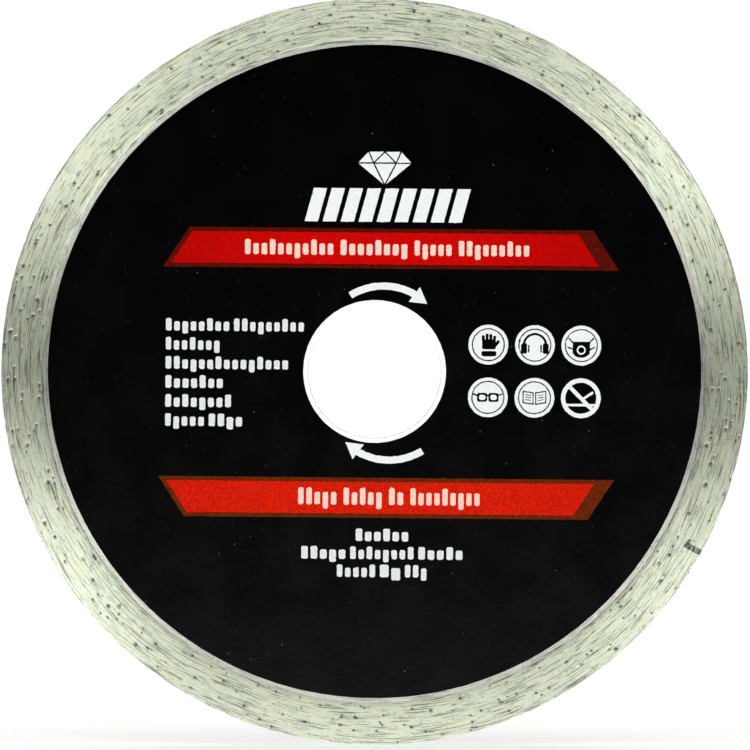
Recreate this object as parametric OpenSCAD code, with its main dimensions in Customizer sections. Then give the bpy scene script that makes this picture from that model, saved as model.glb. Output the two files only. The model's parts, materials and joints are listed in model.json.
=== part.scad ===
// Continuous-rim diamond blade for wet cutting on an angle grinder.
// The disc stands upright with its bore axis along Y, its printed face
// towards -Y and the print's top towards +Z. The origin is the middle of
// the bore, halfway through the blade.

/* [Blade] */
// Outside diameter
blade_d = 125; // [115:1:150]
// Diameter of the arbor bore
bore_d = 22.23; // [20, 22.23]
// Thickness of the steel core
core_t = 1.2; // [0.9:0.1:1.3]

/* [Rim] */
// Thickness of the sintered rim, which is the width of the cut
rim_t = 1.7; // [1.7:0.1:2.4]
// Height of the rim, from its inner edge to the cutting edge
rim_h = 7; // [5:0.5:10]
// Depth of the groove in the rim that the core's edge sits in
tongue_h = 1; // [0.5:0.1:1.5]
// Height of the dovetail keys beyond the tongue
key_h = 1; // [0.5:0.1:1.5]
// Number of dovetail keys round the core
key_count = 36; // [12:1:48]
// Width of a key at its root
key_w = 3.2; // [2:0.1:4]
// Amount that a key widens on each side towards its tip
key_flare = 0.4; // [0.1:0.05:0.6]

/* [Crystals] */
// Number of crystals that show on each side of the rim
side_crystals = 90; // [12:6:108]
// Number of crystals that show on the cutting edge
edge_crystals = 72; // [12:6:108]
// Smallest crystal, across corners
crystal_min_d = 0.34; // [0.2:0.02:0.4]
// Largest crystal, across corners
crystal_max_d = 0.62; // [0.42:0.02:0.7]
// Depth of a crystal below the ground surface
crystal_depth = 0.18; // [0.1:0.02:0.18]

/* [Finish] */
// Width of the bare steel ring round the bore
bare_bore_w = 0.83; // [0.4:0.01:1.2]
// Width of the bare steel strip between the lacquer and the rim
bare_rim_w = 0.8; // [0.3:0.1:2]
// Thickness of the lacquer
lacquer_t = 0.05; // [0.02:0.01:0.08]
// Thickness of one pass of ink
ink_t = 0.03; // [0.01:0.01:0.04]

/* [Print] */
// Turn of the whole print on the disc, in degrees
print_turn = -0.55; // [-2:0.05:2]
// Height of a banner's red field
banner_h = 5.3; // [4:0.1:6]
// Half the length of a banner's red field along its long side
banner_half = 35.8; // [30:0.1:38]
// Radius of a roundel
roundel_r = 3.33; // [2.9:0.01:3.6]

/* [Hidden] */
$fn = 96;

blade_r = blade_d / 2;
bore_r = bore_d / 2;
rim_in_r = blade_r - rim_h;
tongue_r = rim_in_r + tongue_h;
key_r = tongue_r + key_h;
lacquer_in_r = bore_r + bare_bore_w;
lacquer_out_r = rim_in_r - bare_rim_w;

// Levels of the front films, measured from the middle of the blade
lacquer_level = core_t / 2;
ink_level = lacquer_level + lacquer_t;
overprint_level = ink_level + ink_t;

// Banners: place of each red field's middle, and how far the red ink runs
// past the white ink under it
upper_banner_at = [1.6, 20.6];
lower_banner_at = [1.1, -21.15];
banner_slope = 0.65;
border_side = 0.7;
border_left = 0.9;
border_right = 2.9;

// Words, as widths in reading order
banner_words = [14.8, 11.2, 6.2, 11.8];
size_words = [6.4, 6.4, 2.4, 11.6];
list_words = [[10.6, 11.7], [9], [20.5], [9.6], [11], [6.5, 5.6]];
note_words = [[8.8], [7.4, 10.6, 7.4], [6.4, 3.4, 3.6]];
banner_cap_h = 2.55;
size_cap_h = 2.85;
list_cap_h = 2.1;
list_left = -35;
list_top = 8.64;
list_pitch = 3.19;
note_middle = 1.5;
note_top = -26.3;
note_pitch = 3.02;
word_gap = 1.2;
list_word_gap = 0.8;

// One block of a word: its pitch, the gap after it, its cut corner and the
// height of a low block as a share of a tall one
block_pitch = 1.36;
block_gap = 0.44;
block_corner = 0.2;
low_share = 0.74;
tail_share = 0.24;

// Headline
gem_at = [1.4, 31.2];
gem_h = 5.6;
gem_table_half = 2.7;
gem_girdle_half = 4.5;
gem_girdle_z = 3.7;
facet_gap = 0.24;
bar_at = [1.95, 25.05];
bar_w = 27.8;
bar_h = 5.6;
bar_blocks = 9;
bar_lean = 1.5;
bar_gap = 0.8;

// Arrows: a band on an arc with a three-cornered head
arrow_arc_at = [1.43, 3.73];
arrow_in_r = 10;
arrow_out_r = 11.18;
arrow_tail_deg = 122;
arrow_neck_deg = 62.5;
arrow_tip_deg = 46.5;
arrow_head_lean = 2.5;
arrow_head_in_r = 9.03;
arrow_head_out_r = 12.1;
arrow_turn_at = [1.96, -0.25];

// Roundels
roundel_x = [19, 26.8, 34.57];
roundel_z = [4.66, -4.15];
roundel_line_r = 2.77;
roundel_line_w = 0.2;

// ---- placing -------------------------------------------------------------

// Puts a flat drawing (X right, Y up) on the front of the disc as a film
module front_film(level, t) {
    rotate([90, 0, 0])
        translate([0, 0, level])
            linear_extrude(t)
                children();
}

module print_film(level) {
    front_film(level, ink_t)
        rotate(print_turn)
            children();
}

// A plate centred on the blade's middle plane
module centred_plate(t) {
    rotate([90, 0, 0])
        linear_extrude(t, center = true)
            children();
}

module ring(r_out, r_in) {
    difference() {
        circle(r = r_out);
        circle(r = r_in);
    }
}

// A bar with round ends, from a to b
module capsule(a, b, w) {
    run = b - a;
    translate(a)
        rotate(atan2(run[1], run[0])) {
            translate([0, -w / 2])
                square([norm(run), w]);
            circle(d = w, $fn = 24);
            translate([norm(run), 0])
                circle(d = w, $fn = 24);
        }
}

// A rectangle with cut corners, its lower left corner at the origin
module block(w, h) {
    c = min(block_corner, w / 3);
    polygon([
        [c, 0], [w - c, 0], [w, c], [w, h - c],
        [w - c, h], [c, h], [0, h - c], [0, c]
    ]);
}

// ---- core and rim --------------------------------------------------------

module dovetail_key() {
    half = key_w / 2;
    root = tongue_r - 0.5;
    polygon([
        [root, -half], [key_r, -half - key_flare],
        [key_r, half + key_flare], [root, half]
    ]);
}

module core_outline() {
    circle(r = tongue_r);
    for (i = [0 : key_count - 1])
        rotate(i * 360 / key_count)
            dovetail_key();
}

module steel_core() {
    color("silver")
        centred_plate(core_t)
            difference() {
                core_outline();
                circle(r = bore_r);
            }
}

module diamond_rim() {
    color([0.76, 0.77, 0.7])
        difference() {
            centred_plate(rim_t)
                ring(blade_r, rim_in_r);
            centred_plate(core_t)
                core_outline();
            side_prisms(1, 11);
            side_prisms(-1, 23);
            edge_prisms(37, socket_extra);
        }
}

// ---- crystals ------------------------------------------------------------

// Crystals sit one to each equal sector, scattered inside it
side_in_r = rim_in_r + 0.7;
side_out_r = blade_r - 0.7;
edge_spread = rim_t / 2 - 0.45;
edge_top_r = blade_r - 0.002;
socket_extra = 0.3;

module crystal(d, h) {
    cylinder(d = d, h = h, $fn = 6);
}

// side is 1 for the front of the rim and -1 for its back
module side_prisms(side, seed) {
    sector = 360 / side_crystals;
    shift = rands(-0.35, 0.35, side_crystals, seed);
    reach = rands(side_in_r, side_out_r, side_crystals, seed + 1);
    size = rands(crystal_min_d, crystal_max_d, side_crystals, seed + 2);
    spin = rands(0, 60, side_crystals, seed + 3);
    rotate([side * 90, 0, 0])
        for (i = [0 : side_crystals - 1])
            rotate((i + shift[i]) * sector)
                translate([reach[i], 0, rim_t / 2 - crystal_depth])
                    rotate(spin[i])
                        crystal(size[i], crystal_depth);
}

// The crystals' flat tops lie just inside the round edge; extra lengthens
// them outwards, past the edge, to cut their sockets
module edge_prisms(seed, extra = 0) {
    sector = 360 / edge_crystals;
    shift = rands(-0.35, 0.35, edge_crystals, seed);
    across = rands(-edge_spread, edge_spread, edge_crystals, seed + 1);
    size = rands(crystal_min_d, crystal_max_d, edge_crystals, seed + 2);
    spin = rands(0, 60, edge_crystals, seed + 3);
    for (i = [0 : edge_crystals - 1])
        rotate([0, (i + shift[i]) * sector, 0])
            translate([edge_top_r - crystal_depth, across[i], 0])
                rotate([0, 90, 0])
                    rotate(spin[i])
                        crystal(size[i], crystal_depth + extra);
}

module front_side_crystals() {
    color("dimgray")
        side_prisms(1, 11);
}

module back_side_crystals() {
    color("dimgray")
        side_prisms(-1, 23);
}

module cutting_edge_crystals() {
    color("dimgray")
        edge_prisms(37);
}

// ---- lacquer -------------------------------------------------------------

module front_lacquer() {
    color([0.05, 0.05, 0.05])
        front_film(lacquer_level, lacquer_t)
            ring(lacquer_out_r, lacquer_in_r);
}

module back_lacquer() {
    color([0.05, 0.05, 0.05])
        front_film(-lacquer_level - lacquer_t, lacquer_t)
            ring(lacquer_out_r, lacquer_in_r);
}

// ---- words as rows of plain blocks -----------------------------------------

function block_count(w) = max(1, round(w / block_pitch));
function is_tall(i, k) = i == 0 || (i * 3 + k) % 5 == 0;
function has_tail(i, k) = i > 0 && (i * 5 + k) % 7 == 3;

// k varies the run of tall and low blocks from word to word
module word(w, cap_h, k) {
    n = block_count(w);
    pitch = (w + block_gap) / n;
    for (i = [0 : n - 1]) {
        top = is_tall(i, k) ? cap_h : cap_h * low_share;
        foot = has_tail(i, k) ? cap_h * tail_share : 0;
        translate([i * pitch, -foot])
            block(pitch - block_gap, top + foot);
    }
}

function row_width(words, gap, n) =
    n == 0 ? 0 : words[n - 1] + gap + row_width(words, gap, n - 1);

// A row of words that starts at the origin, on its base line
module word_row(words, cap_h, gap, k) {
    for (i = [0 : len(words) - 1])
        translate([row_width(words, gap, i), 0])
            word(words[i], cap_h, k + i * 2);
}

module centred_word_row(words, cap_h, gap, k) {
    whole = row_width(words, gap, len(words)) - gap;
    translate([-whole / 2, 0])
        word_row(words, cap_h, gap, k);
}

module use_list_lines() {
    color("white")
        print_film(ink_level)
            for (i = [0 : len(list_words) - 1])
                translate([list_left, list_top - list_cap_h - i * list_pitch])
                    word_row(list_words[i], list_cap_h, list_word_gap, i);
}

module note_lines() {
    color("white")
        print_film(ink_level)
            for (i = [0 : len(note_words) - 1])
                translate([note_middle, note_top - list_cap_h - i * note_pitch])
                    centred_word_row(note_words[i], list_cap_h, list_word_gap, i + 1);
}

// ---- banners -------------------------------------------------------------

// A banner's outline about its middle, long side down; the last three
// values push its left end, right end and long sides outwards
module banner_outline(left = 0, right = 0, side = 0) {
    half_h = banner_h / 2 + side;
    low_half = banner_half + side * banner_slope;
    high_half = low_half - 2 * half_h * banner_slope;
    polygon([
        [-low_half - left, -half_h], [low_half + right, -half_h],
        [high_half + right, half_h], [-high_half - left, half_h]
    ]);
}

module place_upper() {
    translate(upper_banner_at)
        children();
}

module place_lower() {
    translate(lower_banner_at)
        mirror([0, 1])
            children();
}

module banner_border() {
    difference() {
        banner_outline(border_left, border_right, border_side);
        banner_outline();
    }
}

module upper_words() {
    translate(upper_banner_at + [0.3, -1.15])
        centred_word_row(banner_words, banner_cap_h, word_gap, 1);
}

module lower_words() {
    translate(lower_banner_at + [1.5, -1.2])
        centred_word_row(size_words, size_cap_h, word_gap, 2);
}

module upper_banner_border() {
    color([0.33, 0.11, 0.04])
        print_film(ink_level)
            place_upper()
                banner_border();
}

module upper_banner_base() {
    color("whitesmoke")
        print_film(ink_level)
            place_upper()
                banner_outline();
}

module upper_banner_fill() {
    color([0.85, 0.06, 0.03])
        print_film(overprint_level)
            difference() {
                place_upper()
                    banner_outline();
                upper_words();
            }
}

module lower_banner_border() {
    color([0.33, 0.11, 0.04])
        print_film(ink_level)
            place_lower()
                banner_border();
}

module lower_banner_base() {
    color("whitesmoke")
        print_film(ink_level)
            place_lower()
                banner_outline();
}

module lower_banner_fill() {
    color([0.85, 0.06, 0.03])
        print_film(overprint_level)
            difference() {
                place_lower()
                    banner_outline();
                lower_words();
            }
}

// ---- headline --------------------------------------------------------------

function gem_rim_point(side) = [side * gem_girdle_half, gem_girdle_z];

module gem_outline() {
    polygon([
        [0, 0], gem_rim_point(1), [gem_table_half, gem_h],
        [-gem_table_half, gem_h], gem_rim_point(-1)
    ]);
}

module facet_line(a, b) {
    capsule(a, b, facet_gap);
}

// Lines between the facets of a cut stone, seen from its side
module facet_lines() {
    quarter = gem_girdle_half * 0.42;
    facet_line(gem_rim_point(-1), gem_rim_point(1));
    for (side = [-1, 1]) {
        facet_line([side * quarter, gem_girdle_z], [0, 0]);
        facet_line([side * quarter, gem_girdle_z], [side * gem_table_half, gem_h]);
        facet_line([side * quarter, gem_girdle_z], [0, gem_h]);
    }
}

module headline_gem() {
    color("white")
        print_film(ink_level)
            translate(gem_at)
                difference() {
                    gem_outline();
                    facet_lines();
                }
}

module leaning_block(w) {
    lean = bar_lean / 2;
    polygon([
        [-lean, 0], [w - lean, 0], [w + lean, bar_h], [lean, bar_h]
    ]);
}

module headline_bar() {
    pitch = (bar_w - bar_lean + bar_gap) / bar_blocks;
    start = -(bar_w - bar_lean) / 2;
    color("white")
        print_film(ink_level)
            translate(bar_at)
                for (i = [0 : bar_blocks - 1])
                    translate([start + i * pitch, 0])
                        leaning_block(pitch - bar_gap);
}

// ---- arrows --------------------------------------------------------------

function on_arc(r, deg) = [r * cos(deg), r * sin(deg)];

// The band runs a little way into the arrow's head
module arc_band() {
    mid_deg = (arrow_tail_deg + arrow_neck_deg) / 2;
    reach = arrow_out_r * 1.5;
    intersection() {
        ring(arrow_out_r, arrow_in_r);
        polygon([
            [0, 0], on_arc(reach, arrow_neck_deg - arrow_head_lean),
            on_arc(reach, mid_deg), on_arc(reach, arrow_tail_deg)
        ]);
    }
}

module arrow_outline() {
    head_mid_r = (arrow_head_in_r + arrow_head_out_r) / 2;
    translate(arrow_arc_at) {
        arc_band();
        polygon([
            on_arc(arrow_head_in_r, arrow_neck_deg),
            on_arc(arrow_head_out_r, arrow_neck_deg - arrow_head_lean),
            on_arc(head_mid_r, arrow_tip_deg)
        ]);
    }
}

module top_arrow() {
    color("white")
        print_film(ink_level)
            arrow_outline();
}

module bottom_arrow() {
    color("white")
        print_film(ink_level)
            translate(arrow_turn_at)
                rotate(180)
                    translate(-arrow_turn_at)
                        arrow_outline();
}

// ---- roundels --------------------------------------------------------------

// A white disc at a place in the grid, with its children left open
module roundel(column, row, lined = true) {
    color("white")
        print_film(ink_level)
            translate([roundel_x[column], roundel_z[row]])
                difference() {
                    circle(r = roundel_r);
                    if (lined)
                        ring(roundel_line_r, roundel_line_r - roundel_line_w);
                    children();
                }
}

module glove_shape() {
    finger_w = 0.5;
    translate([-1.05, -0.75])
        block(2.3, 1.65);
    for (i = [0 : 3])
        capsule([-0.8 + i * 0.6, 0.6], [-0.86 + i * 0.64, 1.7 - abs(i - 1.4) * 0.26], finger_w);
    capsule([1, -0.3], [1.65, 0.5], 0.52);
    translate([-1.15, -1.95])
        block(2.5, 0.9);
}

module ear_defender_shape() {
    difference() {
        ring(2.05, 1.65);
        translate([-3, -3])
            square([6, 3]);
    }
    for (side = [-1, 1]) {
        translate([side * 1.8 - 0.5, -1.45])
            block(1, 1.75);
        capsule([side * 1.03, -1.1], [side * 1.03, -0.05], 0.26);
    }
}

module mask_shape() {
    difference() {
        intersection() {
            translate([0, -0.3])
                circle(r = 1.75);
            translate([-1.45, -2.2])
                square([2.9, 2.85]);
        }
        translate([0, -0.75])
            ring(0.75, 0.5);
    }
    for (side = [-1, 1]) {
        capsule([side * 1.3, 0.35], [side * 2.05, 1.2], 0.24);
        capsule([side * 1.35, -0.65], [side * 2.2, -0.3], 0.24);
    }
}

module goggles_shape() {
    for (side = [-1, 1]) {
        difference() {
            translate([side * 0.95 - 0.85, -0.75])
                block(1.7, 1.5);
            translate([side * 0.95 - 0.52, -0.42])
                block(1.04, 0.84);
        }
        capsule([side * 1.75, 0.3], [side * 2.3, 0.55], 0.26);
    }
    capsule([-0.3, 0.3], [0.3, 0.3], 0.3);
}

module book_page() {
    difference() {
        polygon([[0.12, -1.2], [2, -0.9], [2, 1.2], [0.12, 0.9]]);
        polygon([[0.32, -0.95], [1.8, -0.72], [1.8, 0.97], [0.32, 0.72]]);
    }
    for (i = [0 : 2])
        capsule([0.6, -0.45 + i * 0.42], [1.5, -0.32 + i * 0.42], 0.14);
}

module manual_shape() {
    book_page();
    mirror([1, 0])
        book_page();
}

// A wheel held flat against a work piece, crossed out
module barred_shape() {
    difference() {
        circle(r = 2.6);
        rotate(-45)
            translate([-3, -0.32])
                square([6, 0.64]);
        translate([-3, -1.35])
            square([6, 0.4]);
        capsule([0.2, -0.25], [1.9, 0.9], 0.42);
    }
}

module glove_roundel() {
    roundel(0, 0)
        glove_shape();
}

module ear_roundel() {
    roundel(1, 0)
        ear_defender_shape();
}

module mask_roundel() {
    roundel(2, 0)
        mask_shape();
}

module goggles_roundel() {
    roundel(0, 1)
        goggles_shape();
}

module manual_roundel() {
    roundel(1, 1)
        manual_shape();
}

module barred_roundel() {
    roundel(2, 1, false)
        barred_shape();
}

steel_core();
diamond_rim();
front_side_crystals();
back_side_crystals();
cutting_edge_crystals();
front_lacquer();
back_lacquer();
upper_banner_border();
upper_banner_base();
upper_banner_fill();
lower_banner_border();
lower_banner_base();
lower_banner_fill();
headline_gem();
headline_bar();
use_list_lines();
note_lines();
top_arrow();
bottom_arrow();
glove_roundel();
ear_roundel();
mask_roundel();
goggles_roundel();
manual_roundel();
barred_roundel();
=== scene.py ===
import json
import math
import random

import bmesh
import bpy
import numpy as np
from mathutils import Matrix, Vector, geometry, noise


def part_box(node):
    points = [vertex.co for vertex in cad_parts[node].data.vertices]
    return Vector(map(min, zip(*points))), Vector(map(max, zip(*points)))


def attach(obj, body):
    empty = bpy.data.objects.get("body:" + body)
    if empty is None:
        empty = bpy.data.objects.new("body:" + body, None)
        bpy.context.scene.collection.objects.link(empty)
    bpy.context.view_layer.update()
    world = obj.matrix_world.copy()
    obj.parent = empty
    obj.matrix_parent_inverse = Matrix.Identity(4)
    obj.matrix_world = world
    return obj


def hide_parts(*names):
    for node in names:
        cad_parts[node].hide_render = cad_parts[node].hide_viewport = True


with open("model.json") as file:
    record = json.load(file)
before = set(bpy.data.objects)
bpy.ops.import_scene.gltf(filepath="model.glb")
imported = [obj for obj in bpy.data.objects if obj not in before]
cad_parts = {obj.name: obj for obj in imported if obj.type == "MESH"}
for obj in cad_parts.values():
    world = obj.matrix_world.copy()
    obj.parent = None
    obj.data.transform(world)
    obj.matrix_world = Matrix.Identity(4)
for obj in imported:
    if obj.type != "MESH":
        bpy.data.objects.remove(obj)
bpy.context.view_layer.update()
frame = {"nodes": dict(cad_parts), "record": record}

MM = 0.001

# ---- sizes, all read from the frame ---------------------------------------------


def node_points(name):
    """A CAD node's vertices, in metres, as an array."""
    mesh = frame["nodes"][name].data
    co = np.zeros(len(mesh.vertices) * 3)
    mesh.vertices.foreach_get("co", co)
    return co.reshape(-1, 3)


def radius_of(points):
    """Distances of points from the bore's axis."""
    return np.hypot(points[:, 0], points[:, 2])


RIM = node_points("diamond_rim")
BLADE_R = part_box("diamond_rim")[1].x
RIM_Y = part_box("diamond_rim")[1].y
RIM_IN_R = radius_of(RIM[np.abs(RIM[:, 1]) > RIM_Y - 0.01 * MM]).min()
CORE_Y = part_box("steel_core")[1].y
CORE_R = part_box("steel_core")[1].x
LACQUER = node_points("front_lacquer")
LACQUER_OUT_R = radius_of(LACQUER).max()
LACQUER_IN_R = radius_of(LACQUER).min()
LACQUER_Y = -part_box("front_lacquer")[0].y
MOUNTS = {mount["name"]: mount for mount in frame["record"]["mounts"]}
BORE_R = MOUNTS["arbor_bore"]["dims"]["r_mm"] * MM


def loose_solids(name):
    """Middle and half width of each separate solid of a CAD node."""
    mesh = bmesh.new()
    mesh.from_mesh(frame["nodes"][name].data)
    bmesh.ops.remove_doubles(mesh, verts=mesh.verts, dist=0.002 * MM)
    found, seen = [], set()
    for start in mesh.verts:
        if start in seen:
            continue
        group, todo = [], [start]
        seen.add(start)
        while todo:
            v = todo.pop()
            group.append(v.co.copy())
            for e in v.link_edges:
                w = e.other_vert(v)
                if w not in seen:
                    seen.add(w)
                    todo.append(w)
        middle = sum(group, Vector()) / len(group)
        found.append((middle, max((p - middle).length for p in group)))
    mesh.free()
    return sorted(found, key=lambda f: tuple(f[0]))


# ---- materials -----------------------------------------------------------------


class Graph:
    """A node tree under construction: each call adds one node and gives its output."""

    def __init__(self, tree):
        self.tree = tree
        tree.nodes.clear()

    def put(self, socket, value):
        if isinstance(value, bpy.types.NodeSocket):
            self.tree.links.new(value, socket)
        elif value is not None:
            socket.default_value = value

    def math(self, operation, a, b=None, c=None):
        node = self.tree.nodes.new("ShaderNodeMath")
        node.operation = operation
        for socket, value in zip(node.inputs, (a, b, c)):
            self.put(socket, value)
        return node.outputs[0]

    def vector(self, operation, a, b=None):
        node = self.tree.nodes.new("ShaderNodeVectorMath")
        node.operation = operation
        self.put(node.inputs[0], a)
        if operation == "SCALE":
            self.put(node.inputs["Scale"], b)
        elif b is not None:
            self.put(node.inputs[1], b)
        return node.outputs["Value"] if operation in ("LENGTH", "DOT_PRODUCT") else node.outputs[0]

    def combine(self, x, y, z):
        node = self.tree.nodes.new("ShaderNodeCombineXYZ")
        for socket, value in zip(node.inputs, (x, y, z)):
            self.put(socket, value)
        return node.outputs[0]

    def separate(self, vector):
        node = self.tree.nodes.new("ShaderNodeSeparateXYZ")
        self.put(node.inputs[0], vector)
        return node.outputs

    def noise(self, vector, scale=1.0, detail=2.0, rough=0.5):
        node = self.tree.nodes.new("ShaderNodeTexNoise")
        self.put(node.inputs["Vector"], vector)
        node.inputs["Scale"].default_value = scale
        node.inputs["Detail"].default_value = detail
        node.inputs["Roughness"].default_value = rough
        return node.outputs["Fac"]

    def cells(self, vector, scale):
        node = self.tree.nodes.new("ShaderNodeTexVoronoi")
        self.put(node.inputs["Vector"], vector)
        node.inputs["Scale"].default_value = scale
        return node.outputs["Distance"]

    def step(self, value, low, high, out_low=0.0, out_high=1.0):
        """A smooth step of value from low to high."""
        node = self.tree.nodes.new("ShaderNodeMapRange")
        node.interpolation_type = "SMOOTHSTEP"
        self.put(node.inputs["Value"], value)
        for name, number in zip(("From Min", "From Max", "To Min", "To Max"), (low, high, out_low, out_high)):
            node.inputs[name].default_value = number
        return node.outputs["Result"]

    def mix(self, share, a, b, blend="MIX"):
        node = self.tree.nodes.new("ShaderNodeMix")
        node.data_type = "RGBA"
        node.blend_type = blend
        self.put(node.inputs["Factor"], share)
        for socket, value in zip([s for s in node.inputs if s.type == "RGBA"], (a, b)):
            self.put(socket, (*value, 1.0) if isinstance(value, tuple) else value)
        return next(s for s in node.outputs if s.type == "RGBA")

    def attribute(self, name):
        node = self.tree.nodes.new("ShaderNodeAttribute")
        node.attribute_name = name
        return node.outputs["Fac"]

    def bump(self, height, depth, strength=1.0):
        node = self.tree.nodes.new("ShaderNodeBump")
        node.inputs["Strength"].default_value = strength
        node.inputs["Distance"].default_value = depth
        self.put(node.inputs["Height"], height)
        return node.outputs[0]


class Shader(Graph):
    """A material with one principled shader."""

    def __init__(self, name):
        self.material = bpy.data.materials.new(name)
        self.material.use_nodes = True
        super().__init__(self.material.node_tree)
        self.bsdf = self.tree.nodes.new("ShaderNodeBsdfPrincipled")
        out = self.tree.nodes.new("ShaderNodeOutputMaterial")
        self.tree.links.new(self.bsdf.outputs[0], out.inputs[0])

    def point_mm(self):
        """The point on the object, in mm."""
        node = self.tree.nodes.new("ShaderNodeTexCoord")
        return self.vector("SCALE", node.outputs["Object"], 1 / MM)

    def polar(self):
        """The point in mm, its distance from the bore's axis, and the outward direction."""
        point = self.point_mm()
        flat = self.vector("MULTIPLY", point, (1.0, 0.0, 1.0))
        return point, self.vector("LENGTH", flat), self.vector("NORMALIZE", flat)

    def radial_tangent(self, outward):
        """Across the grinding lines, in the surface: where the metal's highlights stretch."""
        geometry = self.tree.nodes.new("ShaderNodeNewGeometry")
        along = self.vector("CROSS_PRODUCT", outward, (0.0, 1.0, 0.0))
        return self.vector("CROSS_PRODUCT", geometry.outputs["Normal"], along)

    def surface(self, **values):
        """Sets the shader's inputs by their names in lower case, and gives the material."""
        for name, value in values.items():
            label = name.replace("_", " ").title().replace("Ior", "IOR")
            self.put(self.bsdf.inputs[label], value)
        return self.material


STREAK_DRIFT = 2.4
# Near-white colour for painted highlights: thin glints along the grinding lines.
PAINTED_GLINT_WHITE = (0.96, 0.96, 0.86)
PEN_INK = (0.035, 0.04, 0.032)
WORN_EDGE = (0.36, 0.33, 0.38)
COOL_TINT = (0.95, 1.0, 0.99)
WARM_TINT = (1.0, 0.985, 0.93)


def scaled(colour, share):
    return tuple(c * share for c in colour)


def streaks(m, point, distance, outward, width, length, shift, detail=2.0):
    """Noise drawn out along circles round the bore, in streaks of that width and length in mm."""
    reach = BLADE_R / MM / length
    drift = m.math("MULTIPLY_ADD", m.noise(outward, 1.7, 1.0), STREAK_DRIFT, shift)
    across = m.math("ADD", m.math("ADD", distance, drift), m.math("MULTIPLY", m.separate(point)[1], 0.83))
    along = m.vector("SCALE", outward, reach)
    ring = m.separate(along)
    lines = m.combine(ring[0], m.math("DIVIDE", across, width), ring[2])
    return m.noise(lines, 1.0, detail, 0.55)


def ground_metal(name, light, dark, shade_depth, has_marks):
    """Metal ground round and round: pale and dark streaks, fine dark scratches, thin painted highlights along
    the grinding lines and an anisotropic sheen. On the rim, painted shade also darkens the inner edge and the
    pits round the crystals.
    """
    m = Shader(name)
    point, distance, outward = m.polar()
    broad = streaks(m, point, distance, outward, 0.95, 7.0, 3.1)
    medium = streaks(m, point, distance, outward, 0.36, 2.6, 11.7)
    fine = streaks(m, point, distance, outward, 0.2, 1.5, 29.3, 1.0)
    grain = m.noise(point, 2.8, 2.0, 0.6)
    cloud = m.noise(point, 0.22, 2.0)
    tone = m.math("MULTIPLY", broad, 0.18)
    tone = m.math("MULTIPLY_ADD", medium, 0.28, tone)
    tone = m.math("MULTIPLY_ADD", fine, 0.34, tone)
    tone = m.math("MULTIPLY_ADD", grain, 0.28, tone)
    tone = m.math("MULTIPLY_ADD", cloud, 0.06, tone)
    tone = m.step(tone, 0.37, 0.59)
    colour = m.mix(tone, dark, light)
    scratch = m.step(streaks(m, point, distance, outward, 0.16, 5.0, 47.9, 0.0), 0.6, 0.72)
    colour = m.mix(m.math("MULTIPLY", scratch, shade_depth), colour, scaled(dark, 0.5))
    # Painted highlights: thin near-white lines that stand in for glints along the grinding lines.
    painted_glint = m.step(streaks(m, point, distance, outward, 0.15, 4.0, 83.9, 0.0), 0.68, 0.76)
    colour = m.mix(m.math("MULTIPLY", painted_glint, 0.25), colour, PAINTED_GLINT_WHITE)
    hue = m.step(m.noise(point, 0.45, 2.0), 0.38, 0.62)
    colour = m.mix(0.7, colour, m.mix(hue, COOL_TINT, WARM_TINT), "MULTIPLY")
    rough = m.step(medium, 0.3, 0.7, 0.42, 0.5)
    if has_marks:
        # Painted shade: the rim's colour darkens to 0.86 towards its inner edge.
        inner = m.step(distance, RIM_IN_R / MM - 1.0, BLADE_R / MM - 1.0, 0.86, 1.0)
        colour = m.vector("SCALE", colour, inner)
        tail = m.math("MULTIPLY", m.attribute("tail"), m.step(fine, 0.3, 0.55))
        colour = m.mix(m.math("MULTIPLY", tail, 0.95), colour, scaled(dark, 0.2))
        # Painted shade: the colour goes almost black in the pit round each crystal.
        pit = m.attribute("pit")
        colour = m.mix(m.math("MULTIPLY", pit, 0.97), colour, scaled(dark, 0.08))
        rough = m.math("MULTIPLY_ADD", pit, 0.25, rough)
        ink = pen_mark(m, point, fine, medium)
        colour = m.mix(ink, colour, PEN_INK)
        edge = m.step(distance, BLADE_R / MM - 0.45, BLADE_R / MM - 0.2)
        worn = m.step(m.noise(outward, 16.0, 3.0, 0.6), 0.48, 0.62)
        colour = m.mix(m.math("MULTIPLY", m.math("MULTIPLY", edge, worn), 0.6), colour, WORN_EDGE)
    relief = m.math("MULTIPLY_ADD", medium, 0.5, m.math("MULTIPLY", fine, 0.5))
    return m.surface(
        base_color=colour, metallic=1.0, roughness=rough, anisotropic=0.94,
        tangent=m.radial_tangent(outward), normal=m.bump(relief, 0.02 * MM, 0.6),
    )


PEN_DEG = -29.06
PEN_IN_R = 59.38
PEN_HALF_W = 0.53


def pen_mark(m, point, fine, medium):
    """The short dark pen stroke across the front of the rim, worn through on the ridges."""
    a = math.radians(PEN_DEG)
    x, y, z = m.separate(point)
    along = m.math("ADD", m.math("MULTIPLY", x, math.cos(a)), m.math("MULTIPLY", z, math.sin(a)))
    side = m.math("ADD", m.math("MULTIPLY", x, -math.sin(a)), m.math("MULTIPLY", z, math.cos(a)))
    wobble = m.math("MULTIPLY_ADD", m.noise(point, 2.5, 1.0), 0.2, m.math("SUBTRACT", side, 0.1))
    begun = m.step(along, PEN_IN_R - 0.12, PEN_IN_R + 0.12)
    within = m.step(m.math("ABSOLUTE", wobble), PEN_HALF_W - 0.1, PEN_HALF_W + 0.06, 1.0, 0.0)
    inside = m.math("MULTIPLY", begun, within)
    front = m.math("LESS_THAN", y, 0.0)
    worn = m.step(m.math("MULTIPLY_ADD", medium, 0.5, m.math("MULTIPLY", fine, 0.5)), 0.4, 0.62, 0.97, 0.5)
    return m.math("MULTIPLY", m.math("MULTIPLY", inside, front), worn)


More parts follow.
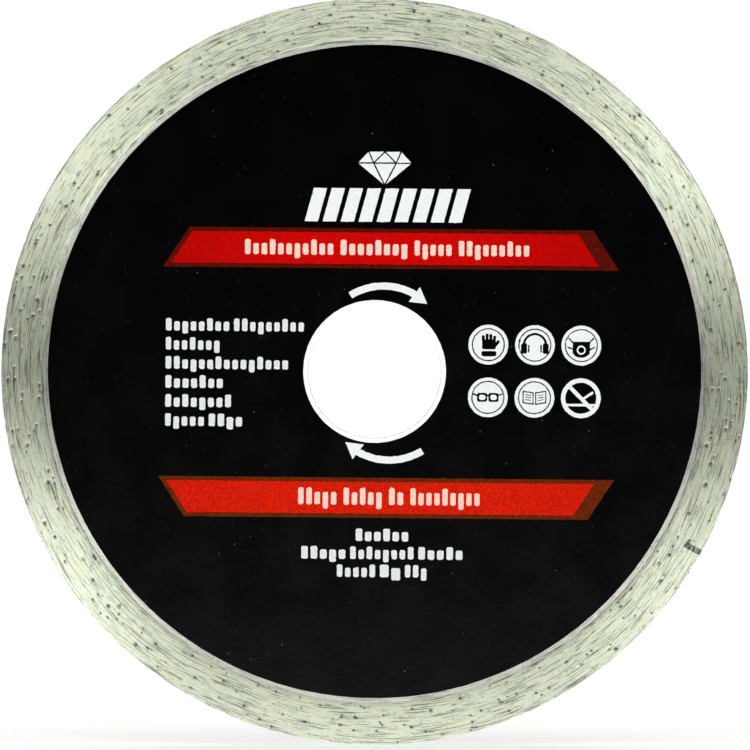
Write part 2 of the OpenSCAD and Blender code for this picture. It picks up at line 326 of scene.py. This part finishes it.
def lacquer_material():
    """Satin black lacquer with orange peel, and with coarse and fine specks of dust in it."""
    m = Shader("lacquer_black")
    point = m.point_mm()
    peel = m.noise(point, 0.9, 3.0, 0.6)
    haze = m.noise(point, 0.12, 2.0)
    cloud = m.math("MULTIPLY_ADD", haze, 0.7, m.math("MULTIPLY", peel, 0.3))
    rough = m.step(cloud, 0.3, 0.7, 0.13, 0.17)
    speck = m.step(m.cells(point, 0.42), 0.03, 0.055, 1.0, 0.0)
    speck = m.math("MULTIPLY", speck, m.step(m.noise(point, 0.6, 1.0), 0.5, 0.62))
    colour = m.mix(m.math("MULTIPLY", haze, 0.5), (0.0002, 0.0002, 0.0002), (0.0006, 0.0006, 0.0005))
    colour = m.mix(speck, colour, (0.11, 0.12, 0.115))
    fine_dust = m.step(m.cells(point, 1.15), 0.05, 0.1, 1.0, 0.0)
    fine_dust = m.math("MULTIPLY", fine_dust, m.step(m.noise(point, 0.7, 1.0), 0.5, 0.72))
    colour = m.mix(fine_dust, colour, (0.06, 0.066, 0.062))
    return m.surface(
        base_color=colour, roughness=rough, specular_ior_level=0.22, normal=m.bump(peel, 0.012 * MM, 0.5)
    )


UNDER_INK = (0.01, 0.01, 0.01)


def ink_material(name, light, deep, grain, fade=1.0, pinhole=0.0):
    """Screen-printed ink: mottled colour, the mesh's faint grain, and pinholes down to the lacquer.
    fade is how much of the colour is left at the two far ends of a banner."""
    m = Shader(name)
    point = m.point_mm()
    blotch = m.noise(point, 1.4, 3.0, 0.6)
    speckle = m.noise(point, 3.6, 2.0, 0.6)
    tone = m.math("MULTIPLY_ADD", blotch, 1.0 - grain, m.math("MULTIPLY", speckle, grain))
    colour = m.mix(m.step(tone, 0.36, 0.64), deep, light)
    ends = m.step(m.math("ABSOLUTE", m.separate(point)[0]), 14.0, 34.0, 1.0, fade)
    colour = m.vector("SCALE", colour, ends)
    if pinhole:
        hole = m.step(m.noise(point, 2.6, 4.0, 0.7), 0.72 - pinhole, 0.75 - pinhole)
        colour = m.mix(hole, colour, UNDER_INK)
    mesh_grain = m.noise(point, 12.0, 1.0)
    rough = m.step(speckle, 0.3, 0.7, 0.22, 0.3)
    return m.surface(
        base_color=colour, roughness=rough, specular_ior_level=0.06,
        normal=m.bump(mesh_grain, 0.008 * MM, 0.5),
    )


def crystal_material():
    """Dark glassy crystal, browner in some places than in others."""
    m = Shader("crystal")
    point = m.point_mm()
    patch = m.noise(point, 0.9, 1.0)
    facet = m.noise(point, 6.0, 2.0)
    colour = m.mix(m.step(patch, 0.4, 0.6), (0.012, 0.012, 0.01), (0.06, 0.05, 0.032))
    return m.surface(
        base_color=colour, roughness=m.step(facet, 0.3, 0.7, 0.16, 0.4), ior=2.0,
        normal=m.bump(facet, 0.01 * MM, 0.4),
    )


RIM_METAL = ground_metal("rim_bond", (0.79, 0.83, 0.665), (0.27, 0.29, 0.225), 0.75, True)
CORE_METAL = ground_metal("core_steel", (0.68, 0.68, 0.615), (0.27, 0.27, 0.25), 0.6, False)
LACQUER_BLACK = lacquer_material()
WHITE_INK = ink_material("ink_white", (0.805, 0.835, 0.83), (0.745, 0.775, 0.77), 0.35, pinhole=0.02)
BRIGHT_WHITE_INK = ink_material(
    "ink_white_bright", (0.91, 0.945, 0.94), (0.845, 0.878, 0.872), 0.35, pinhole=0.02
)
PINK_WHITE_INK = ink_material("ink_white_under", (0.94, 0.735, 0.62), (0.85, 0.605, 0.5), 0.35)
RED_INK = ink_material("ink_red", (0.65, 0.001, 0.0003), (0.53, 0.0008, 0.0002), 0.25, fade=0.8)
ORANGE_INK = ink_material("ink_red_lower", (0.78, 0.014, 0.0008), (0.53, 0.0075, 0.0006), 0.7, fade=0.94)
BROWN_INK = ink_material("ink_brown", (0.135, 0.0043, 0.0008), (0.05, 0.003, 0.001), 0.5)
RUST_INK = ink_material("ink_brown_lower", (0.17, 0.02, 0.0012), (0.085, 0.013, 0.001), 0.6)
CRYSTAL = crystal_material()

# ---- ring meshes ---------------------------------------------------------------


def place(name, mesh, material, node):
    """Puts a mesh in the scene as the piece that stands in for a CAD node."""
    mesh.materials.append(material)
    piece = bpy.data.objects.new(name, mesh)
    bpy.context.scene.collection.objects.link(piece)
    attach(piece, "root")
    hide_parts(node)
    return piece


def smooth_piece(name, points, faces, material, node):
    mesh = bpy.data.meshes.new(name)
    mesh.from_pydata([tuple(p) for p in points], [], faces)
    mesh.polygons.foreach_set("use_smooth", [True] * len(mesh.polygons))
    mesh.update()
    return place(name, mesh, material, node)


def swept_ring(profile, around):
    """Points and faces of a closed profile of (radius, y) rows swept round the Y axis.
    radius and y may vary round the ring: each is an array of one value a column."""
    turn = np.arange(around) * 2 * math.pi / around
    radius = np.array([np.broadcast_to(r, around) for r, _ in profile])
    height = np.array([np.broadcast_to(y, around) for _, y in profile])
    points = np.stack([radius * np.cos(turn), height, radius * np.sin(turn)], axis=-1)
    rows = len(profile)
    faces = []
    for i in range(rows):
        low, high = i * around, (i + 1) % rows * around
        for j in range(around):
            k = (j + 1) % around
            faces.append((low + j, high + j, high + k, low + k))
    return points.reshape(-1, 3), faces


def waves(turn, across, count, k_turn, k_across, seed):
    """A sum of random waves, with whole numbers of waves round the ring; about -1 to 1."""
    draw = np.random.default_rng(seed)
    total = np.zeros(np.broadcast(turn, across).shape)
    for _ in range(count):
        kt = draw.integers(1, k_turn + 1) * draw.choice([-1, 1])
        ka = draw.uniform(-k_across, k_across)
        total += np.cos(kt * turn + ka * across + draw.uniform(0, 2 * math.pi))
    return total / math.sqrt(count)


# ---- the rim: ground sides with pits and tails round the crystals -----------------

AROUND = 1200
FACE_ROWS = 46
EDGE_ROWS = 9
EXTRA_STONES = 230
EDGE_ROUND = 0.14 * MM
RAMP_WIDTH = 0.7 * MM
RAMP_DROP = 0.19 * MM
TAIL_LENGTH = (0.9 * MM, 2.6 * MM)


def crystal_spots(name, extra, seed):
    """Where crystals show on one side of the rim: the CAD solids, and smaller ones between them."""
    draw = random.Random(seed)
    side = 1 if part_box(name)[1].y > 0 else -1
    spots = []
    for middle, half in loose_solids(name):
        flat_r = math.hypot(middle.x, middle.z)
        spots.append((math.atan2(middle.z, middle.x), flat_r, half * 0.72))
    for _ in range(extra):
        turn = draw.uniform(-math.pi, math.pi)
        flat_r = draw.uniform(RIM_IN_R + 0.3 * MM, BLADE_R - 0.2 * MM)
        spots.append((turn, flat_r, draw.uniform(0.06, 0.14) * MM))
    return side, spots


def rim_face_marks(spots, seed):
    """Depth, pit and tail of one side, on a grid of FACE_ROWS rows by AROUND columns."""
    draw = random.Random(seed)
    turn = np.arange(AROUND) * 2 * math.pi / AROUND
    radius = np.linspace(RIM_IN_R, BLADE_R, FACE_ROWS)[:, None]
    grind = waves(turn, radius / MM, 70, 26, 14.0, seed)
    swell = waves(turn, radius / MM, 12, 9, 0.5, seed + 1)
    depth = (0.012 + 0.005 * grind + 0.004 * swell) * MM
    pit = np.zeros_like(depth)
    tail = np.zeros_like(depth)
    for spot_turn, spot_r, half in spots:
        gap = (turn - spot_turn + math.pi) % (2 * math.pi) - math.pi
        along = gap * spot_r
        across = radius - spot_r
        far = np.hypot(along, across)
        reach = half + 0.08 * MM
        pit = np.maximum(pit, np.clip(1.35 - far / reach, 0, 1))
        if draw.random() < 0.6:
            length = draw.uniform(*TAIL_LENGTH)
            fade = np.clip(1 - along / length, 0, 1) * (along > 0)
            narrow = np.clip(1 - np.abs(across) / (half * 0.8 + 0.09 * MM), 0, 1)
            tail = np.maximum(tail, fade * narrow)
    depth = np.clip(depth + 0.05 * MM * pit - 0.01 * MM * tail, 0, None)
    return radius, depth, pit, tail


def make_rim():
    """The sintered rim as one closed ring, grooved inside for the core's edge.
    Gives the side and the crystal spots of its front, and then of its back."""
    turn = np.arange(AROUND) * 2 * math.pi / AROUND
    front_side, front_spots = crystal_spots("front_side_crystals", EXTRA_STONES, 5)
    back_side, back_spots = crystal_spots("back_side_crystals", EXTRA_STONES, 6)
    chips = np.clip(waves(turn, 0.0, 40, 180, 0.0, 71) - 0.62, 0, None) * 0.11 * MM
    inner = waves(turn, 0.0, 30, 90, 0.0, 72) * 0.025 * MM
    profile, pits, tails = [], [], []

    def add(radius, y, pit=0.0, tail=0.0):
        profile.append((radius, y))
        pits.append(np.broadcast_to(pit, AROUND))
        tails.append(np.broadcast_to(tail, AROUND))

    def add_side(side, spots, seed, rows):
        radius, depth, pit, tail = rim_face_marks(spots, seed)
        for i in rows:
            r = np.broadcast_to(radius[i], AROUND)
            inset = np.clip((r - (BLADE_R - EDGE_ROUND)) / EDGE_ROUND, 0, 1)
            shift = inner * np.clip(1 - (r - RIM_IN_R) / (0.4 * MM), 0, 1)
            ramp = np.clip(1 - (r - RIM_IN_R) / RAMP_WIDTH, 0, 1)
            drop = depth[i] + EDGE_ROUND * 0.55 * inset**2 + RAMP_DROP * ramp**1.5
            worn = chips * (r > BLADE_R - 0.3 * MM) + EDGE_ROUND * 0.25 * (i == FACE_ROWS - 1)
            add(r + shift - worn, side * (RIM_Y - drop), pit[i], tail[i])

    add(CORE_R, -CORE_Y)
    add(RIM_IN_R + inner, -CORE_Y)
    add_side(-1, front_spots, 81, range(FACE_ROWS))
    edge_waves = waves(turn, np.linspace(0, 1, EDGE_ROWS)[:, None], 30, 120, 14.0, 73)
    for i in range(EDGE_ROWS):
        share = (i + 1) / (EDGE_ROWS + 1)
        y = (share * 2 - 1) * (RIM_Y - EDGE_ROUND)
        chipped = chips * (0.35 + 0.65 * abs(share * 2 - 1))
        worn = np.clip(0.008 * edge_waves[i] + 0.008, 0, None) * MM
        add(BLADE_R - chipped - worn, y)
    add_side(1, back_spots, 91, range(FACE_ROWS - 1, -1, -1))
    add(RIM_IN_R + inner, CORE_Y)
    add(CORE_R, CORE_Y)
    points, faces = swept_ring(profile, AROUND)
    piece = smooth_piece("sintered_rim", points, faces, RIM_METAL, "diamond_rim")
    for name, values in (("pit", pits), ("tail", tails)):
        layer = piece.data.attributes.new(name, "FLOAT", "POINT")
        layer.data.foreach_set("value", np.concatenate(values).astype(np.float32))
    return (front_side, front_spots), (back_side, back_spots)


FRONT, BACK = make_rim()

# ---- crystals: small irregular stones, each in its pit ------------------------------


def rough_stone(mesh, middle, half, out, draw):
    """Adds a small stone with uneven facets at middle; out is the way that it faces."""
    made = bmesh.ops.create_icosphere(mesh, subdivisions=1, radius=1.0)
    angle = draw.uniform(0, 6.28)
    spin = Matrix.Rotation(angle, 3, Vector((draw.random(), draw.random(), draw.random() + 0.1)))
    size = [half * draw.uniform(0.75, 1.1) for _ in range(3)]
    for v in made["verts"]:
        p = spin @ v.co * draw.uniform(0.82, 1.12)
        p = Vector((p.x * size[0], p.y * size[1], p.z * size[2]))
        deep = p.dot(out)
        if deep > 0:
            p -= out * deep * 0.45
        v.co = middle + p


def make_side_crystals(name, node, side, spots, seed):
    draw = random.Random(seed)
    mesh = bmesh.new()
    out = Vector((0, side, 0))
    for turn, radius, half in spots:
        y = side * (RIM_Y - 0.035 * MM - half * 0.25)
        rough_stone(mesh, Vector((radius * math.cos(turn), y, radius * math.sin(turn))), half, out, draw)
    finish_crystals(name, node, mesh)


def make_edge_crystals(name, node, seed):
    draw = random.Random(seed)
    mesh = bmesh.new()
    for middle, half in loose_solids(node):
        out = Vector((middle.x, 0, middle.z)).normalized()
        at = out * (BLADE_R - 0.05 * MM)
        at.y = middle.y
        rough_stone(mesh, at, half * 0.8, out, draw)
    finish_crystals(name, node, mesh)


def finish_crystals(name, node, mesh):
    data = bpy.data.meshes.new(name)
    mesh.to_mesh(data)
    mesh.free()
    place(name, data, CRYSTAL, node)


make_side_crystals("front_stones", "front_side_crystals", *FRONT, 15)
make_side_crystals("back_stones", "back_side_crystals", *BACK, 16)
make_edge_crystals("edge_stones", "cutting_edge_crystals", 17)

# ---- lacquer --------------------------------------------------------------------


def make_lacquer(name, node, side, seed):
    """A thin film with soft edges and a faint swell in its surface."""
    around = 720
    turn = np.arange(around) * 2 * math.pi / around
    ragged_out = waves(turn, 0.0, 24, 160, 0.0, seed) * 0.012 * MM
    ragged_in = waves(turn, 0.0, 24, 60, 0.0, seed + 1) * 0.01 * MM
    middle = np.linspace(LACQUER_IN_R + 0.2 * MM, LACQUER_OUT_R - 0.2 * MM, 60)
    lip = np.array([0.03, 0.06, 0.12]) * MM
    radii = np.concatenate([LACQUER_IN_R + lip, middle, LACQUER_OUT_R - lip[::-1]])
    share = radii[:, None] / BLADE_R
    swell = waves(turn, radii[:, None] / MM, 30, 9, 0.5, seed + 2) * 0.0012 * share * MM
    profile = [(LACQUER_IN_R + ragged_in, side * CORE_Y)]
    profile.append((LACQUER_IN_R + ragged_in, side * (LACQUER_Y - 0.02 * MM)))
    for r, s in zip(radii, swell):
        profile.append((r, side * (LACQUER_Y - 0.003 * MM + s)))
    profile.append((LACQUER_OUT_R + ragged_out, side * (LACQUER_Y - 0.02 * MM)))
    profile.append((LACQUER_OUT_R + ragged_out, side * CORE_Y))
    points, faces = swept_ring(profile if side < 0 else profile[::-1], around)
    smooth_piece(name, points, faces, LACQUER_BLACK, node)


make_lacquer("front_lacquer_film", "front_lacquer", -1, 31)
make_lacquer("back_lacquer_film", "back_lacquer", 1, 41)

# ---- the steel core: ground faces, and a bright deburred land round the bore -------------

BORE_CHAMFER = 0.05 * MM
LAND_R = LACQUER_IN_R + 0.15 * MM


def land_material():
    """Steel blasted bright round the bore."""
    m = Shader("bore_land")
    point = m.point_mm()
    frost = m.noise(point, 9.0, 3.0, 0.6)
    cloud = m.noise(point, 1.1, 2.0)
    colour = m.mix(m.step(cloud, 0.3, 0.7), (0.9, 0.9, 0.88), (0.97, 0.97, 0.96))
    rough = m.step(frost, 0.3, 0.7, 0.56, 0.68)
    return m.surface(base_color=colour, metallic=1.0, roughness=rough, normal=m.bump(frost, 0.01 * MM, 0.5))


def make_core():
    """The core as one closed ring: ground metal, and the bright land round the bore."""
    around = 720
    turn = np.arange(around) * 2 * math.pi / around
    strip = np.linspace(LACQUER_OUT_R - 0.3 * MM, RIM_IN_R + 0.1 * MM, 8)
    land = np.linspace(BORE_R + BORE_CHAMFER, LAND_R, 6)
    radii = [*land, 20 * MM, 35 * MM, 50 * MM, *strip, CORE_R - 0.01 * MM]
    bite = waves(turn, 0.0, 30, 50, 0.0, 61) * 0.015 * MM
    profile = [(BORE_R, -CORE_Y + BORE_CHAMFER)]
    for side in (-1, 1):
        sunk = waves(turn, np.array(radii)[:, None] / MM, 60, 24, 15.0, 62 + side) * 0.002 * MM
        rows = [(r, side * (CORE_Y - 0.004 * MM + s)) for r, s in zip(radii, sunk)]
        rows[0] = (rows[0][0] + np.abs(bite), rows[0][1])
        profile += rows if side < 0 else rows[::-1]
    profile.append((BORE_R, CORE_Y - BORE_CHAMFER))
    points, faces = swept_ring(profile, around)
    piece = smooth_piece("ground_core", points, faces, CORE_METAL, "steel_core")
    piece.data.materials.append(land_material())
    for face in piece.data.polygons:
        flat_r = math.hypot(face.center.x, face.center.z)
        face.material_index = int(flat_r < LAND_R)


make_core()

# ---- printed films: the CAD outlines, with the ragged edge that a screen leaves ---------

OUTLINE_STEP = 0.1 * MM
RAGGED = 0.045 * MM
NICK = 0.35 * MM


def outlines(node, y):
    """Closed outlines, as lists of (x, z), of a CAD node's flat face at y."""
    mesh = bmesh.new()
    mesh.from_mesh(frame["nodes"][node].data)
    bmesh.ops.remove_doubles(mesh, verts=mesh.verts, dist=0.001 * MM)
    near = 0.004 * MM
    cap = [f for f in mesh.faces if all(abs(v.co.y - y) < near for v in f.verts)]
    steps = {}
    for face in cap:
        for corner in face.loops:
            steps[corner.vert, corner.link_loop_next.vert] = corner.edge
    after = {start: end for start, end in steps if (end, start) not in steps}
    loops = []
    while after:
        start, v = next(iter(after.items()))
        loop = [start]
        while v is not start:
            loop.append(v)
            v = after.pop(v)
        del after[start]
        loops.append([(v.co.x, v.co.z) for v in loop])
    mesh.free()
    return loops


DRIFT_SHIFTS = (Vector((0.0, 0.0, 0.0)), Vector((31.7, 11.3, 5.9)), Vector((7.1, 43.3, 19.7)))


def drift(at):
    """A smooth random vector that depends on the place alone, so it is the same in every run."""
    return Vector([noise.noise(at + shift) for shift in DRIFT_SHIFTS])


def ragged(loop):
    """The outline in short steps, each point moved a little by a field that all the prints share."""
    fine = []
    for (x0, z0), (x1, z1) in zip(loop, loop[1:] + loop[:1]):
        count = max(1, round(math.hypot(x1 - x0, z1 - z0) / OUTLINE_STEP))
        for i in range(count):
            share = i / count
            at = Vector(((x0 + (x1 - x0) * share) / MM, 0.0, (z0 + (z1 - z0) * share) / MM))
            move = drift(at * 2.3) + drift(at * 5.9) * 0.7
            nick = max(0.0, noise.noise(at * 1.3 + Vector((9.0, 4.0, 2.0))) - 0.3)
            move = move * (RAGGED + NICK * nick)
            fine.append(Vector((at.x * MM + move.x, at.z * MM + move.z)))
    return fine


def inked(edges, middle, faces):
    """The triangles inside the outlines: those from which a line to the right crosses them an
    odd number of times."""
    (x0, z0), (x1, z1) = edges[:, 0].T, edges[:, 1].T
    inside = []
    for (x, z), face in zip(middle, faces):
        crossed = (z0 > z) != (z1 > z)
        at = x0[crossed] + (z - z0[crossed]) / (z1[crossed] - z0[crossed]) * (x1[crossed] - x0[crossed])
        if (at > x).sum() % 2:
            inside.append(face)
    return inside


def print_film(node, material):
    """One printed film: the CAD film's outlines made ragged, filled, and given its thickness."""
    low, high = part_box(node)
    points, edges = [], []
    for loop in outlines(node, low.y):
        first = len(points)
        points += ragged(loop)
        count = len(points) - first
        edges += [(first + i, first + (i + 1) % count) for i in range(count)]
    flat, _, faces = geometry.delaunay_2d_cdt(points, edges, [], 0, 1e-9)[:3]
    faces = inked(np.array(points)[np.array(edges)], np.array(flat)[np.array(faces)].mean(axis=1), faces)
    mesh = bmesh.new()
    front = [mesh.verts.new((p.x, low.y, p.y)) for p in flat]
    back = [mesh.verts.new((p.x, high.y, p.y)) for p in flat]
    for face in faces:
        mesh.faces.new([front[i] for i in face])
        mesh.faces.new([back[i] for i in reversed(face)])
    twin = {v: back[i] for i, v in enumerate(front)}
    for a, b in [tuple(e.verts) for e in mesh.edges if len(e.link_faces) == 1]:
        if a in twin and b in twin:
            mesh.faces.new((a, b, twin[b], twin[a]))
    bmesh.ops.recalc_face_normals(mesh, faces=mesh.faces)
    data = bpy.data.meshes.new(node + "_print")
    mesh.to_mesh(data)
    mesh.free()
    place(data.name, data, material, node)


for node in sorted(frame["nodes"]):
    upper = node.startswith("upper")
    if frame["nodes"][node].hide_render:
        continue
    if node.endswith("_fill"):
        print_film(node, RED_INK if upper else ORANGE_INK)
    elif node.endswith("_border"):
        print_film(node, BROWN_INK if upper else RUST_INK)
    elif node.startswith("headline") or node.endswith(("_arrow", "_roundel")):
        print_film(node, BRIGHT_WHITE_INK)
    else:
        print_film(node, PINK_WHITE_INK if node.endswith("_base") else WHITE_INK)

# ---- camera -----------------------------------------------------------------------

FRAME_WIDTH = 2 * BLADE_R * 1.00432
VIEW_DISTANCE = 0.9
AIM = Vector((0.07 * MM, 0.0, -0.59 * MM))

camera_data = bpy.data.cameras.new("camera")
camera_data.sensor_width = 36.0
camera_data.lens = 36.0 * (VIEW_DISTANCE - RIM_Y) / FRAME_WIDTH
camera_data.clip_start = 0.01
camera_data.clip_end = 50.0
camera = bpy.data.objects.new("camera", camera_data)
camera.location = AIM + Vector((0, -VIEW_DISTANCE, 0))
camera.rotation_euler = (math.pi / 2, 0, 0)
bpy.context.scene.collection.objects.link(camera)
bpy.context.scene.camera = camera

# ---- floor, light and surroundings ------------------------------------------------


FLOOR_HALF = 1.5
FLOOR_FADE_MM = (250.0, 1200.0)
FLOOR_GLOW = 0.35


def make_floor():
    """A pale floor that fades out before its edge. It is kept out of reflections, and it casts no
    shadow, so that the lights below it reach the blade."""
    m = Shader("pale_floor")
    point = m.point_mm()
    tone = m.step(m.noise(point, 0.02, 3.0), 0.3, 0.7)
    away = m.vector("LENGTH", m.vector("MULTIPLY", point, (1.0, 1.0, 0.0)))
    fade = m.step(away, *FLOOR_FADE_MM, 1.0, 0.0)
    m.surface(
        base_color=m.mix(tone, (0.88, 0.88, 0.87), (0.92, 0.92, 0.91)), roughness=0.8, alpha=fade,
        emission_color=(1.0, 1.0, 1.0, 1.0), emission_strength=FLOOR_GLOW,
    )
    mesh = bpy.data.meshes.new("floor")
    corners = [(-1, -1), (1, -1), (1, 1), (-1, 1)]
    mesh.from_pydata([(x * FLOOR_HALF, y * FLOOR_HALF, -BLADE_R) for x, y in corners], [], [(0, 1, 2, 3)])
    mesh.materials.append(m.material)
    floor = bpy.data.objects.new("floor", mesh)
    bpy.context.scene.collection.objects.link(floor)
    floor.visible_glossy = False
    floor.visible_shadow = False


SKY_SEEN = 1.05

# The tent's brightness in smooth steps: from, to, brightness before, brightness after. They run
# along the share of a direction that points at a face (AHEAD has no brightnesses: it goes dark),
# how steeply it rises or falls seen along the bore's axis (two of them), and its height.
AHEAD = (0.9, 0.965)
TENT_FACING = (0.6, 0.85, 0.45, 1.1)
TENT_LEVEL = (0.05, 0.55, 0.0, 1.0)
TENT_UPRIGHT = (0.65, 0.95, 1.0, 0.62)
TENT_HEIGHT = (-0.3, 0.3, 1.65, 0.1)
LOW_GLOW = (-0.12, -0.04, 1.35, 0.0)

# azimuth, angle off the bore's axis, distance, size and power of the boxes on each side.
BOXES = (
    (33, 35, 1.6, 0.36, 1.75),
    (147, 35, 1.6, 0.36, 1.05),
    (213, 26, 1.6, 0.45, 2.75),
    (322, 26, 1.6, 0.38, 2.25),
    (270, 50, 0.25, 0.15, 0.08),
)
TOP_BOX = (90, 90, 1.8, 3.0, 45)


def soft_box(name, azimuth, off_axis, distance, size, power):
    """A square soft light that the camera doesn't see. azimuth, in degrees, turns round the
    bore's axis from +X, and off_axis is the angle from -Y."""
    a, f = math.radians(azimuth), math.radians(off_axis)
    way = Vector((math.cos(a) * math.sin(f), -math.cos(f), math.sin(a) * math.sin(f)))
    data = bpy.data.lights.new(name, "AREA")
    data.shape = "SQUARE"
    data.size = size
    data.energy = power
    light = bpy.data.objects.new(name, data)
    light.location = way * distance
    light.rotation_euler = (-way).to_track_quat("-Z", "Y").to_euler()
    light.visible_camera = False
    bpy.context.scene.collection.objects.link(light)


def make_world():
    """A studio tent: plain white where the camera sees it. For what lights the blade it is a soft
    grey, dark straight ahead of the faces and level with the blade's two sides, and brighter low
    down than high up. A dim glow low ahead is what the lower half of the lacquer mirrors."""
    world = bpy.data.worlds.new("studio")
    bpy.context.scene.world = world
    world.use_nodes = True
    w = Graph(world.node_tree)
    nodes = w.tree.nodes
    out = nodes.new("ShaderNodeOutputWorld")
    seen = nodes.new("ShaderNodeBackground")
    lit = nodes.new("ShaderNodeBackground")
    mix = nodes.new("ShaderNodeMixShader")
    path = nodes.new("ShaderNodeLightPath")
    seen.inputs["Color"].default_value = (1, 1, 1, 1)
    seen.inputs["Strength"].default_value = SKY_SEEN
    lit.inputs["Color"].default_value = (1, 1, 1, 1)
    w.put(mix.inputs[0], path.outputs["Is Camera Ray"])
    w.put(mix.inputs[1], lit.outputs[0])
    w.put(mix.inputs[2], seen.outputs[0])
    w.put(out.inputs[0], mix.outputs[0])
    x, y, z = w.separate(nodes.new("ShaderNodeTexCoord").outputs["Generated"])
    facing = w.math("ABSOLUTE", y)
    flat = w.math("SQRT", w.math("ADD", w.math("MULTIPLY", x, x), w.math("MULTIPLY", z, z)))
    lift = w.math("DIVIDE", w.math("ABSOLUTE", z), flat)
    tent = w.math("MULTIPLY", w.step(facing, *AHEAD, 1.0, 0.0), w.step(facing, *TENT_FACING))
    tent = w.math("MULTIPLY", tent, w.step(lift, *TENT_LEVEL))
    tent = w.math("MULTIPLY", tent, w.step(lift, *TENT_UPRIGHT))
    tent = w.math("MULTIPLY", tent, w.step(z, *TENT_HEIGHT))
    low = w.math("MULTIPLY", w.step(z, *LOW_GLOW), w.step(facing, 0.6, 0.9))
    w.put(lit.inputs["Strength"], w.math("ADD", tent, low))


make_floor()
make_world()
for azimuth, off_axis, distance, size, power in BOXES:
    soft_box("front_box_%d" % azimuth, azimuth, off_axis, distance, size, power)
    soft_box("back_box_%d" % azimuth, azimuth, 180 - off_axis, distance, size, power)
soft_box("top_box", *TOP_BOX)

bpy.context.scene.view_settings.view_transform = "Standard"
